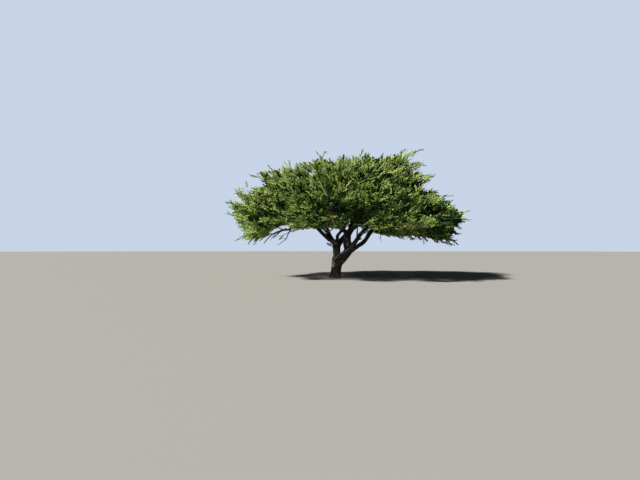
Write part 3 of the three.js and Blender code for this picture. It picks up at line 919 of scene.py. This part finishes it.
# The pads: spots spaced out. Each has an axis from foot to tip, a way over it, and how far its shoots rise
# and sweep.
def makePads():
    rng = np.random.default_rng(11)
    made = padSpots(rng)
    edge = np.where(made["tuft"], -padSet["tuftEdge"], -padSet["edge"])
    clear = np.min([eggGap(made["place"], *hollow) for hollow in hollows], axis=0) > 1
    made = picked(made, (outlineGap(made["place"]) < edge) & clear)
    under = smoothstep(*padSet["under"], made["normal"][:, 2])
    spacing = between(padSet["spacing"], padSet["underSpacing"], under)
    outer, inner = (rng.permutation(np.flatnonzero(made["inner"] == kind)) for kind in (False, True))
    outer = outer[spacedOut(made["place"][outer], spacing[outer])]
    inner = inner[spacedOut(made["place"][inner], padSet["innerSpacing"] + 0 * inner)]
    made = picked(made, np.concatenate([outer, inner]))
    places, normals = made["place"], made["normal"]
    axis = np.interp(places[:, 2], *padSet["axis"])
    away = unit(np.stack([padSet["acrossPull"] * (places[:, 0] - axis), places[:, 1], 0 * axis], axis=1))
    rim = smoothstep(*padSet["rimHeights"], places[:, 2])
    rim = rim * smoothstep(*padSet["rimReach"], np.abs(places[:, 0] - crown["middle"]))
    lift = padSet["upward"] + padSet["upwardByNormal"] * normals[:, 2] - padSet["droop"] * rim
    ways = padSet["normal"] * normals + padSet["away"] * away + lift[:, None] * up
    ways = unit(ways + padSet["stray"] * rng.normal(size=ways.shape))
    side = unit(np.cross(ways, up))
    roll = rng.normal(0, padSet["roll"], len(ways))[:, None]
    return {**made, "way": ways, "pad": np.arange(len(places)), "size": np.ones(len(places)),
            "foot": places - padSet["before"] * ways, "tip": places + padSet["beyond"] * ways,
            "over": np.cos(roll) * np.cross(side, ways) + np.sin(roll) * side,
            "rise": (padSet["rise"] + padSet["rise"] * normals[:, 2]) * (1 - rim),
            "sweep": unit((places - padSet["sweepFrom"]) * padSet["sweepBy"])}


pads = makePads()
print("pads:", len(pads["place"]), "of which inner", int(pads["inner"].sum()))


# Branches

branchSet = {
    "lowest": 2.35,
    "every": 4,  # a limb's branches leave it at one in so many of its stations
    "root": (0.4, 0, 1.6),  # how far out is measured from here
    "turning": 0.9,
    "farOut": 0.1,
    "pull": 0.38,  # how far a branch keeps the way of its parent and of its pad, as a share of its length
    "bend": 0.6,
    "stray": 0.05,
    "stations": 9,
    "tipRadius": 0.005,
    "tipTaper": 0.45,
    "power": 0.46,  # radius grows as this power of the number of pads carried
    "mostRadius": 0.036,
    "sides": 5,
    # painted shade: darker than the branches' own bark would be, as in the crown's shadow
    "tone": (0.026, 0.022, 0.016),
}


# Each pad, nearest to the limbs first, is joined to the branch or limb point that costs least: distance, more
# if it has to turn sharply, and more far out along the tree. The branch is a Bezier cubic to the pad's foot,
# then the pad's axis.
def growBranches():
    rng = np.random.default_rng(23)
    nodes, ways, reach = [], [], []
    for line, _ in woodLines.values():
        usable = (line[:, 2] > branchSet["lowest"]) & (np.arange(len(line)) % branchSet["every"] == 0)
        nodes.append(line[usable])
        ways.append(unit(np.gradient(line, axis=0))[usable])
        reach.append(np.linalg.norm(line[usable] - branchSet["root"], axis=1))
    nodes, ways, reach = map(np.concatenate, (nodes, ways, reach))
    order = np.argsort([((nodes - foot) ** 2).sum(1).min() for foot in pads["foot"]])
    owner = np.full(len(nodes), -1)
    station = np.zeros(len(nodes), int)
    stations = branchSet["stations"]
    t = np.linspace(0, 1, stations - 2)[:, None]
    lines, parents = np.zeros((len(order), stations, 3)), {}
    for pad in order:
        gap = pads["foot"][pad] - nodes
        far = np.linalg.norm(gap, axis=1)
        turning = 1 - (gap * ways).sum(1) / np.maximum(far, 1e-6)
        best = int(np.argmin(far * (1 + branchSet["turning"] * turning) + branchSet["farOut"] * reach))
        parents[pad] = (owner[best], station[best])
        a, d, tip = nodes[best], pads["foot"][pad], pads["tip"][pad]
        pull = branchSet["pull"] * far[best]
        leaving = unit(ways[best] + branchSet["bend"] * unit(gap[best]))
        b = a + pull * leaving + branchSet["stray"] * far[best] * rng.normal(size=3)
        c = d - pull * pads["way"][pad]
        curve = (1 - t) ** 3 * a + 3 * (1 - t) ** 2 * t * b + 3 * (1 - t) * t**2 * c + t**3 * d
        lines[pad] = np.vstack([curve, (d + tip) / 2, tip])
        nodes = np.vstack([nodes, lines[pad][1:]])
        ways = np.vstack([ways, unit(np.gradient(lines[pad], axis=0))[1:]])
        reach = np.concatenate([reach, reach[best] + far[best] * np.linspace(0, 1, stations)[1:]])
        owner = np.concatenate([owner, np.full(stations - 1, pad)])
        station = np.concatenate([station, np.arange(1, stations)])
    carried = np.ones((len(order), stations))  # how many pads each station carries
    for pad in order[::-1]:
        parent, at = parents[pad]
        if parent >= 0:
            carried[parent, : at + 1] += carried[pad, 0]
    radii = np.minimum(branchSet["tipRadius"] * carried ** branchSet["power"], branchSet["mostRadius"])
    radii[:, -1] *= branchSet["tipTaper"]
    return lines, radii


# Single shoots that stand out of the crown or hang under it: Y of the places they pass, one for all or one
# for each; X and Z of those; the radius at the foot, and the size of their side shoots, 0 on a dead one.
sprigs = [
    (-0.3, (-3.45, -3.85, -4.2), (4.95, 5.12, 5.19), 0.014, 0.6),
    (-0.2, (-4.9, -5.25, -5.57), (3.7, 3.8, 3.84), 0.014, 0.65),
    (-0.2, (-4.85, -5.2, -5.46), (3.12, 3.2, 3.28), 0.014, 0.65),
    (-0.2, (-4.5, -4.62, -4.58), (4.55, 4.7, 4.85), 0.01, 0.5),
    (0, (5.9, 6.5, 7.06), (3.3, 3.38, 3.47), 0.018, 0.6),
    (0.1, (5.9, 6.55, 7.04), (2.9, 3.05, 2.93), 0.018, 0.55),
    (0, (5.7, 6.1, 6.42), (2.8, 2.72, 2.58), 0.014, 0.6),
    (-0.2, (5.4, 5.9, 6.25), (2.7, 2.48, 2.28), 0.014, 0.55),
    (0, (5.0, 5.7, 6.22), (2.6, 2.25, 1.8), 0.02, 0.6),
    (0, (4.4, 5.2, 5.85), (2.32, 2.02, 1.78), 0.02, 0.6),
    (0, (5.2, 5.6, 5.97), (4.05, 4.18, 4.26), 0.012, 0.6),
    (0, (4.5, 4.8, 5.06), (5.1, 5.22, 5.28), 0.012, 0.55),
    (-1.5, (3.43, 3.71, 4.08), (5.96, 6.16, 6.29), 0.012, 0.6),
    (-1.4, (3.5, 3.9, 4.22), (5.62, 5.68, 5.6), 0.012, 0.6),
    (-1.4, (3.05, 3.19, 3.32), (6.01, 6.15, 6.31), 0.01, 0.55),
    (0, (-3.3, -3.62, -3.88), (5.35, 5.45, 5.42), 0.01, 0.6),
    (0, (-3.2, -3.32, -3.4), (5.45, 5.6, 5.72), 0.009, 0.5),
    (0, (-2.3, -2.36, -2.4), (5.75, 5.88, 6.0), 0.009, 0.5),
    (0, (5.1, 5.7, 6.15), (2.35, 2.02, 1.92), 0.014, 0.6),
    (0, (-4.1, -4.3, -4.42), (2.2, 2.0, 1.8), 0.012, 0.55),
    (0, (-3.7, -3.95, -4.1), (2.2, 2.05, 1.86), 0.012, 0.55),
    (-1.5, (1.17, 1.23, 1.31), (5.92, 6.1, 6.27), 0.01, 0.45),
    (-1.5, (-0.72, -0.82, -0.99), (5.73, 6.03, 6.24), 0.012, 0.35),
    (-1.5, (-0.74, -0.65, -0.52), (5.87, 6.04, 6.2), 0.009, 0.3),
    ((-0.13, -0.17, -0.18), (-0.08, -0.24, -0.36), (1.62, 1.7, 1.7), 0.008, 0.42),
    ((-0.14, -0.16, -0.17), (-0.08, -0.22, -0.3), (1.58, 1.6, 1.74), 0.008, 0.42),
    ((-0.3, -0.36, -0.38), (1.26, 1.44, 1.66), (2.3, 2.28, 2.4), 0.01, 0.6),
    ((-0.2, -0.24, -0.28), (1.74, 1.95, 2.14), (2.5, 2.66, 2.8), 0.01, 0.6),
    ((-0.2, -0.24, -0.28), (2.5, 2.9, 3.3), (2.5, 2.44, 2.52), 0.012, 0.65),
    ((-0.4, -0.46, -0.5), (0.1, -0.12, -0.3), (2.62, 2.52, 2.4), 0.01, 0.6),
    ((-0.2, -0.22, -0.22, -0.22), (2.4, 2.32, 2.31, 2.36), (2.62, 2.25, 2.05, 1.88), 0.026, 0),
    ((-0.22, -0.24, -0.25), (2.32, 2.25, 2.24), (2.15, 2.05, 1.97), 0.013, 0),
    (0, (4.44, 4.53, 4.56, 4.54), (2.3, 2.05, 1.88, 1.69), 0.028, 0),
    (0, (4.56, 4.62, 4.65), (1.92, 1.82, 1.72), 0.015, 0),
    (0, (2.8, 3.2, 3.5, 3.78), (2.42, 2.14, 2.0, 2.05), 0.024, 0),
    (0, (3.6, 3.95, 4.2, 4.45), (2.4, 2.1, 2.03, 1.96), 0.024, 0),
    (-0.3, (-1.6, -2.3, -2.8, -3.18, -3.44, -3.66), (2.9, 2.52, 2.43, 2.28, 2.05, 1.78), 0.066, 0),
    ((-0.3, -0.32, -0.34), (-3.16, -3.35, -3.62), (2.3, 2.24, 2.12), 0.013, 0.5),
    ((-0.3, -0.32, -0.34), (-2.7, -2.9, -3.06), (2.44, 2.3, 2.16), 0.012, 0.5),
    ((-0.3, -0.32, -0.34), (-2.4, -2.66, -2.9), (2.5, 2.5, 2.58), 0.012, 0.55),
    ((-0.3, -0.32, -0.33, -0.34, -0.35), (-2.28, -2.42, -2.52, -2.74, -2.96), (2.52, 2.26, 2.02, 1.84, 1.69),
     0.034, 0),
    ((-0.33, -0.33, -0.33), (-2.5, -2.62, -2.76), (2.06, 2.02, 2.05), 0.014, 0),
    ((-0.3, -0.3, -0.32, -0.33), (-1.75, -2.2, -2.6, -2.98), (2.6, 2.42, 2.24, 2.12), 0.024, 0),
    (-0.3, (-3.0, -3.22, -3.32), (2.36, 2.12, 1.92), 0.022, 0),
    ((-0.32, -0.33, -0.34), (-2.6, -2.66, -2.76), (2.24, 2.16, 2.06), 0.012, 0.5),
]
# A fringe of drooping sprigs along the lower edge: each leaves it outwards and falls by its drop.
fringeSet = {
    "from": (*np.arange(2.3, 5.6, 0.2), *np.arange(-4.4, -3.2, 0.2)),
    "edge": ((-4.7, -3.4, 2.1, 3.0, 4.2, 5.1, 6.1), (2.02, 2.22, 2.4, 2.24, 2.18, 1.98, 1.9)),
    "above": 0.25,  # how far above the edge their feet are
    "depth": 0.8,  # how far to the front or back of the middle
    "run": (0.35, 0.65),
    "drop": (0.25, 0.5),
    "halfway": 0.35,  # share of the drop that is done halfway along the run
    "radius": 0.011,
    "size": 0.6,
}
sprigSet = {"fineStep": 0.01, "taper": 0.3}


def looseShoots():  # the route, foot radius and side shoots of every sprig and of the fringe
    made = [(np.stack(np.broadcast_arrays(x, y, z), axis=1), foot, size) for y, x, z, foot, size in sprigs]
    rng = np.random.default_rng(17)
    for x in fringeSet["from"]:
        height = np.interp(x, *fringeSet["edge"]) + fringeSet["above"]
        foot = np.array((x, rng.uniform(-fringeSet["depth"], fringeSet["depth"]), height))
        run, drop = np.sign(x) * rng.uniform(*fringeSet["run"]), rng.uniform(*fringeSet["drop"])
        route = [foot, foot + (0.5 * run, 0, -fringeSet["halfway"] * drop), foot + (run, 0, -drop)]
        made.append((route, fringeSet["radius"], fringeSet["size"]))
    return made


def stationsOf(route):  # as many stations on a sprig as a branch has
    line = smoothLine(route, sprigSet["fineStep"])
    return line[np.linspace(0, len(line) - 1, branchSet["stations"]).round().astype(int)]


loose = looseShoots()


def makeBranches():  # the grown branches, then the loose shoots, as tubes
    lines, radii = growBranches()
    moreLines = [stationsOf(route) for route, _, _ in loose]
    taper = np.linspace(1, sprigSet["taper"], branchSet["stations"])
    moreRadii = [foot * taper for _, foot, _ in loose]
    surface = tubes(np.vstack([lines, moreLines]), np.vstack([radii, moreRadii]), branchSet["sides"])
    return makeObject("branches", *surface, [plainMaterial("branch_bark", branchSet["tone"])])


branchPiece = makeBranches()
print("branches:", len(branchPiece.data.polygons), "faces")


# The branching rule: children leave a parent alternately left and right along its length, at an angle that
# narrows towards its tip, lifted out of its plane, towards the sky and away from the crown's middle.

sideTwigSet = {
    "count": 6,
    "from": 0.05,
    "within": (0.3, 1),  # where in its share of the parent a child may leave
    "wide": math.radians(74),
    "narrow": math.radians(12),
    "stray": 0.14,
    "lift": (0.1, 0.26),  # mean and spread
    "length": (0.26, 0.38),
    "shorter": 0.25,  # the last child's length is less by this share
    "rise": 0.5,
    "sweep": 0.45,
    "radius": 0.0062,
    # painted shade in part: a dark olive, darker than the twigs' own bark, as in the shade inside the crown
    "tone": (0.022, 0.024, 0.01),
    "sprigStep": 0.24,  # length of the pieces of a sprig that carry shoots
    "sprigRise": 0.1,
}
shootSet = {
    "count": 3,
    "from": 0.1,
    "within": (0.3, 1),
    "wide": math.radians(52),
    "narrow": math.radians(10),
    "stray": 0.18,
    "lift": (0.14, 0.32),
    "length": (0.24, 0.38),
    "shorter": 0.15,
    "rise": 0.6,
    "sweep": 0.5,
    "radius": 0.0042,
}


def fanOut(rng, parents, rule):
    count = rule["count"]
    shape = (len(parents["foot"]), count)
    within = rng.uniform(*rule["within"], shape)
    share = rule["from"] + (1 - rule["from"]) * (np.arange(count) + within) / count
    hand = np.where((np.arange(count) + rng.integers(0, 2, (shape[0], 1))) % 2 == 0, 1, -1)
    angle = hand * between(rule["wide"], rule["narrow"], share) + rng.normal(0, rule["stray"], shape)
    angle, lift = angle[..., None], rng.normal(*rule["lift"], shape)[..., None]
    span = (parents["tip"] - parents["foot"])[:, None]
    along, over = unit(span), parents["over"][:, None]
    way = np.cos(lift) * (np.cos(angle) * along + np.sin(angle) * np.cross(over, along)) + np.sin(lift) * over
    rise = rule["rise"] * parents["rise"][:, None, None] * up
    way = unit(way + rise + rule["sweep"] * parents["sweep"][:, None])
    length = rng.uniform(*rule["length"], shape) * (1 - rule["shorter"] * share) * parents["size"][:, None]
    foot = parents["foot"][:, None] + share[..., None] * span
    over = unit(over - (over * way).sum(axis=-1, keepdims=True) * way)
    inherited = {key: np.repeat(parents[key], count, axis=0) for key in ("rise", "pad", "size", "sweep")}
    return {"foot": foot.reshape(-1, 3), "tip": (foot + length[..., None] * way).reshape(-1, 3),
            "over": over.reshape(-1, 3), **inherited}


# How far places stand out of the nearest mass, roughly in metres; negative inside.
def outsideBy(places):
    return np.min([(depthIn(mass, places) - 1) * mass["size"].mean() for mass in masses.values()], axis=0)


boxSet = {"half": 0.53, "blade": 0.09}  # half a side and 3% of it; a blade


# Whether places lie in the CAD model's box, or outside it by less than 3% of its sides less a blade.
def inBox(places):
    reach = boxSet["half"] * (boxHigh - boxLow) - boxSet["blade"]
    return np.all(np.abs(places - (boxLow + boxHigh) / 2) < reach, axis=1)


# Side twigs on every pad inside the outline, and pieces of every living sprig to carry shoots as they do.
def makeSideTwigs(rng):
    made = fanOut(rng, pads, sideTwigSet)
    made = picked(made, (outlineGap(made["tip"]) < 0) & inBox(made["tip"]))
    for route, _, size in loose:
        if size:
            line = smoothLine(route, sideTwigSet["sprigStep"])
            span = line[1:] - line[:-1]
            closest = [((pads["place"] - place) ** 2).sum(1).argmin() for place in line[1:]]
            more = {"foot": line[:-1], "tip": line[1:], "sweep": unit(span), "pad": np.array(closest),
                    "over": unit(up - (span @ up)[:, None] * span / (span**2).sum(1)[:, None]),
                    "rise": np.full(len(span), sideTwigSet["sprigRise"]), "size": np.full(len(span), size)}
            made = {key: np.concatenate([value, more[key]]) for key, value in made.items()}
    return made


spikiness = {
    "mean": 0.02,  # how far a shoot's tip may stand out of the masses
    "spread": 0.1,
    "outline": (-0.04, 0.07),  # and out of the outline
    "innerKept": 0.8,
}


# Shoots on every side twig, less those whose tips stand out too far and some of the inner ones.
def makeShoots(rng):
    made = fanOut(rng, sideTwigs, shootSet)
    chance = rng.exponential(size=(2, len(made["tip"])))
    fits = outsideBy(made["tip"]) < spikiness["mean"] + spikiness["spread"] * chance[0]
    fits |= pads["tuft"][made["pad"]]
    fits &= outlineGap(made["tip"]) < spikiness["outline"][0] + spikiness["outline"][1] * chance[1]
    fits |= made["size"] < 1  # those of the sprigs
    fits &= inBox(made["tip"])
    fits &= ~pads["inner"][made["pad"]] | (rng.uniform(size=len(fits)) < spikiness["innerKept"])
    return picked(made, fits)


rng = np.random.default_rng(37)
sideTwigs = makeSideTwigs(rng)
shoots = makeShoots(rng)
print("side twigs:", len(sideTwigs["pad"]), "shoots:", len(shoots["pad"]))


# Twigs: three-sided spikes, each a triangle round its foot and a point at its tip.
def spikes(twigs, radius):
    _, normals, binormals = framesAlong(np.stack([twigs["foot"], twigs["tip"]], axis=1))
    ring = twigs["foot"][:, None] + radius * spokes(3, normals[:, 0], binormals[:, 0])
    points = np.concatenate([ring, twigs["tip"][:, None]], axis=1).reshape(-1, 3)
    faces = np.array([(0, 2, 1), (0, 1, 3), (1, 2, 3), (2, 0, 3)])
    return points, [(4 * np.arange(len(ring))[:, None, None] + faces).reshape(-1, 3)]


twigTone = plainMaterial("twig_bark", sideTwigSet["tone"])
twigParts = [spikes(sideTwigs, sideTwigSet["radius"]), spikes(shoots, shootSet["radius"])]
twigPiece = makeObject("twigs", *merged(twigParts), [twigTone])
print("twigs:", len(twigPiece.data.polygons), "faces")


# Leaves: narrow blades in rosettes along each shoot, angled forwards and turned to the sky

leafSet = {
    "nodes": 7,  # rosettes on a shoot
    "perNode": 4,
    "innerNodes": 3,
    "from": 0.02,  # share of the shoot where they start
    "within": (0.6, 1),
    "length": (0.056, 0.078),
    "halfWidth": 0.21,  # as a share of the length
    "widest": 0.5,
    "fold": 0.08,
    "angle": (math.radians(38), math.radians(18)),  # to the shoot, at its foot and at its tip
    "skyward": 0.16,
    "stray": 0.2,
    "facing": (0.72, 0.55, 0.42),  # how far a blade turns to the sky, to the pad's normal and at random
    "innerSize": 2.3,  # how much larger the blades of the inner pads are
    "most": 190000,  # triangles in one piece
    "gloss": (0.55, 0.12),  # roughness and specular level
}
# Leaf tones. leaf_old and the random share of the rest are the leaves' own; past that the four steps from
# yellow to deep are painted light and shade: the yellow and bright tints where the sun would fall, the deep
# one, near black, for the shade in the crown's gaps and inside.
leafTints = {
    "leaf_yellow_lit": (0.33, 0.388, 0.14),
    "leaf_bright_lit": (0.236, 0.34, 0.09),
    "leaf_mid": (0.138, 0.236, 0.042),
    "leaf_deep_shaded": (0.018, 0.044, 0.007),
    "leaf_old": (0.17, 0.19, 0.052),
}
tintSet = {
    "mean": 1.1,  # in steps from the yellow tint towards the deep one
    "byNormal": -0.95,  # painted light: brighter for a pad that faces up
    # painted shade: deeper tints for the inner pads
    "inner": 2.0,
    "padSpread": 0.34,
    "spread": 0.66,
    "spotEdge": (1.3, 0.7),
    # painted shade: deeper tints low on the crown's right
    "lowRight": 0.4,
    "lowRightX": (-2.0, 2.0),
    "lowRightZ": (3.3, 2.2),
    "old": 0.06,  # share of the shoots that are leaf_old
}
leafMaterials = [plainMaterial(name, tone, *leafSet["gloss"]) for name, tone in leafTints.items()]


# A blade is a folded diamond: foot on the shoot, two side points at its widest, and a tip.
def makeBlades(rng, rows, nodes, larger):
    each = leafSet["perNode"]
    shape = (len(rows), nodes, each)
    within = rng.uniform(*leafSet["within"], shape[:2])
    at = leafSet["from"] + (1 - leafSet["from"]) * (np.arange(nodes) + within) / nodes
    at = at[..., None, None] * np.ones((each, 1))
    span = (shoots["tip"][rows] - shoots["foot"][rows])[:, None, None]
    foot = shoots["foot"][rows][:, None, None] + at * span
    along = unit(span)
    sideways = unit(np.cross(along, up))
    turn = 2 * np.pi * (np.arange(each) / each + rng.uniform(size=(*shape[:2], 1)))[..., None]
    spoke = np.cos(turn) * sideways + np.sin(turn) * np.cross(sideways, along)
    lean = between(*leafSet["angle"], at)
    way = np.cos(lean) * along + np.sin(lean) * spoke + leafSet["skyward"] * up
    way = unit(way + leafSet["stray"] * rng.normal(size=way.shape))
    skyward, outward, atRandom = leafSet["facing"]
    normal = pads["normal"][shoots["pad"][rows]][:, None, None]
    facing = skyward * up + outward * normal + atRandom * rng.normal(size=way.shape)
    across = unit(np.cross(facing, way))
    length = (rng.uniform(*leafSet["length"], shape) * larger)[..., None]
    middle = foot + leafSet["widest"] * length * way + leafSet["fold"] * length * np.cross(way, across)
    half = leafSet["halfWidth"] * length * across
    return np.stack([foot, middle - half, foot + length * way, middle + half], axis=3).reshape(-1, 3)


# Which tint each shoot takes: partly at random, and partly painted light and shade, brighter on the crown's
# outside and top and in the painted light spots, deeper inside, below, in the painted shade spots and low on
# its right.
def tintsFor(rng, rows):
    pad, places = shoots["pad"][rows], pads["place"]
    mood = np.random.default_rng(5).normal(0, tintSet["padSpread"], len(places))
    # Painted shade and light: deeper tints in some egg-shaped spots, brighter ones where the amount is below
    # 0.
    for middle, size, shade in paintedShadeAndLight:
        mood += shade * smoothstep(*tintSet["spotEdge"], eggGap(places, middle, size))
    # Painted shade: deeper tints low on the crown's right.
    right = smoothstep(*tintSet["lowRightX"], places[:, 0])
    mood += tintSet["lowRight"] * right * smoothstep(*tintSet["lowRightZ"], places[:, 2])
    # Painted light and shade: brighter for a pad that faces up, deeper for the inner ones.
    shade = tintSet["mean"] + tintSet["byNormal"] * pads["normal"][pad][:, 2]
    shade = shade + tintSet["inner"] * pads["inner"][pad] + mood[pad]
    tint = np.clip(np.round(shade + rng.normal(0, tintSet["spread"], len(rows))), 0, 3).astype(int)
    return np.where(rng.uniform(size=len(rows)) < tintSet["old"], 4, tint)


# The leaves of neighbouring masses go into one piece, as long as it stays under its most triangles.
def makeLeaves():
    rng = np.random.default_rng(41)
    owner, inside = pads["owner"][shoots["pad"]], pads["inner"][shoots["pad"]]
    trianglesEach = 2 * leafSet["perNode"] * np.where(inside, leafSet["innerNodes"], leafSet["nodes"])
    groups, total = [[]], 0
    for number in range(len(masses)):
        size = int(trianglesEach[owner == number].sum())
        if total + size > leafSet["most"]:
            groups.append([])
            total = 0
        groups[-1].append(number)
        total += size
    made = []
    for order, group in enumerate(groups):
        chosen = np.isin(owner, group)
        outer, inner = np.flatnonzero(chosen & ~inside), np.flatnonzero(chosen & inside)
        points = np.vstack([makeBlades(rng, outer, leafSet["nodes"], 1),
                            makeBlades(rng, inner, leafSet["innerNodes"], leafSet["innerSize"])])
        first = 4 * np.arange(len(points) // 4)[:, None, None]
        triangles = (first + np.array([(0, 1, 2), (0, 2, 3)])).reshape(-1, 3)
        rows = np.concatenate([outer, inner])
        slots = np.repeat(tintsFor(rng, rows), trianglesEach[rows])
        piece = makeObject(f"leaves_{order}", points, [triangles], leafMaterials, slots, smooth=False)
        made.append((piece, [list(masses)[number] for number in group]))
        print("leaves", order, ":", len(triangles), "triangles for", len(group), "masses")
    return made


leafPieces = makeLeaves()


# What each piece stands for

for piece in (wood, limbPiece, branchPiece, twigPiece):
    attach(piece, "root")
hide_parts("trunk", *boughs)
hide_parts(*limbs)
for piece, names in leafPieces:
    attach(piece, "root")
    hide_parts(*names)


# Floor, light and sky

stageSet = {
    "floor": (0.18, 0.18, 0.176),
    "floorRadius": 300.0,
    "floorSides": 96,
    "skyTone": (0.72, 0.82, 1.0),
    "skyStrength": 0.09,
    "skySeen": 0.8,
    "sunWay": (-0.62, -0.5, 0.6),  # towards the sun
    "sunStrength": 13.3,
    "sunTone": (1.0, 0.955, 0.88),
    "sunAngle": 5.0,
}


def makeStage():
    azimuths = 2 * np.pi * np.arange(stageSet["floorSides"]) / stageSet["floorSides"]
    corners = stageSet["floorRadius"] * np.stack([np.cos(azimuths), np.sin(azimuths), 0 * azimuths], axis=1)
    paint = plainMaterial("floor_paint", stageSet["floor"])
    floor = makeObject("floor", corners, [np.arange(len(corners))[None]], [paint], smooth=False)
    graph = Graph(bpy.data.worlds.new("sky"))
    seen = graph.node("ShaderNodeLightPath", {}, {})  # the sky is seen brighter than it lights
    brighter = stageSet["skySeen"] - stageSet["skyStrength"]
    graph.give(Color=(*stageSet["skyTone"], 1), Strength=seen * brighter + stageSet["skyStrength"])
    scene.world = graph.owner
    sun = bpy.data.lights.new("sun", "SUN")
    sun.energy = stageSet["sunStrength"]
    sun.color = stageSet["sunTone"]
    sun.angle = math.radians(stageSet["sunAngle"])
    lamp = bpy.data.objects.new("sun", sun)
    way = unit(np.array(stageSet["sunWay"]))
    lamp.rotation_euler = (math.acos(way[2]), 0, math.atan2(way[0], -way[1]))
    scene.collection.objects.link(lamp)


makeStage()
scene.view_settings.view_transform = "Standard"
print("stage made")
